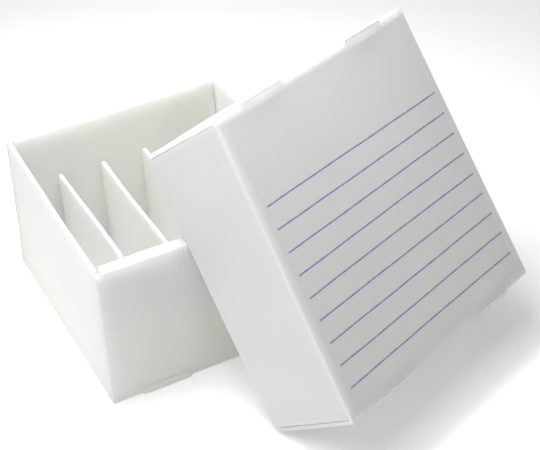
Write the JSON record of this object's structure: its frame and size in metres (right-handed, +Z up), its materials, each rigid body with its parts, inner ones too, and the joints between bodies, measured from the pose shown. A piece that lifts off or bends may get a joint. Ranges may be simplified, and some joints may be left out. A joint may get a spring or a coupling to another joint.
{
  "type": "cryogenic storage box",
  "caption": "Folded fluted-plastic storage box: open square tray with upright divider strips, and a telescoping lid with a ruled writing face that leans against it.",
  "frame": {"origin": "centre of the tray's flat underside, on the surface that it stands on", "axes": "+X to the right along the rolled front wall, +Y to the back, +Z up out of the tray"},
  "size_m": [0.207, 0.2339, 0.1565],
  "materials": {
    "tray_sheet": "translucent white fluted polypropylene sheet, satin, flutes faintly visible",
    "lid_sheet": "translucent white fluted polypropylene sheet, satin, with blue ruled writing lines on its flat face",
    "divider_sheet": "translucent white fluted polypropylene sheet, satin"
  },
  "bodies": {
    "tray": {"tray_back_inner": "tray_sheet", "tray_back_left_tab": "tray_sheet", "tray_back_outer": "tray_sheet", "tray_back_right_tab": "tray_sheet", "tray_back_rim": "tray_sheet", "tray_floor": "tray_sheet", "tray_front_inner": "tray_sheet", "tray_front_left_tab": "tray_sheet", "tray_front_outer": "tray_sheet", "tray_front_right_tab": "tray_sheet", "tray_front_rim": "tray_sheet", "tray_left_wall": "tray_sheet", "tray_right_wall": "tray_sheet"},
    "lid": {"lid_left_wall": "lid_sheet", "lid_lower_inner": "lid_sheet", "lid_lower_left_tab": "lid_sheet", "lid_lower_outer": "lid_sheet", "lid_lower_right_tab": "lid_sheet", "lid_lower_rim": "lid_sheet", "lid_right_wall": "lid_sheet", "lid_top": "lid_sheet", "lid_upper_inner": "lid_sheet", "lid_upper_left_tab": "lid_sheet", "lid_upper_outer": "lid_sheet", "lid_upper_right_tab": "lid_sheet", "lid_upper_rim": "lid_sheet"},
    "divider_1": {"divider_1_blade": "divider_sheet", "divider_1_foot": "divider_sheet"},
    "divider_2": {"divider_2_blade": "divider_sheet", "divider_2_foot": "divider_sheet"},
    "divider_3": {"divider_3_blade": "divider_sheet", "divider_3_foot": "divider_sheet"},
    "divider_4": {"divider_4_blade": "divider_sheet", "divider_4_foot": "divider_sheet"}
  },
  "joints": [
    {"name": "lid_lift_off", "type": "slide", "parent": "tray", "child": "lid", "axis": [0.2805, -0.7707, 0.5721], "range_m": [0, 0.1]},
    {"name": "divider_1_lift_out", "type": "slide", "parent": "tray", "child": "divider_1", "axis": [0, 0, 1], "range_m": [0, 0.055]},
    {"name": "divider_2_lift_out", "type": "slide", "parent": "tray", "child": "divider_2", "axis": [0, 0, 1], "range_m": [0, 0.055]},
    {"name": "divider_3_lift_out", "type": "slide", "parent": "tray", "child": "divider_3", "axis": [0, 0, 1], "range_m": [0, 0.055]},
    {"name": "divider_4_lift_out", "type": "slide", "parent": "tray", "child": "divider_4", "axis": [0, 0, 1], "range_m": [0, 0.055]}
  ]
}
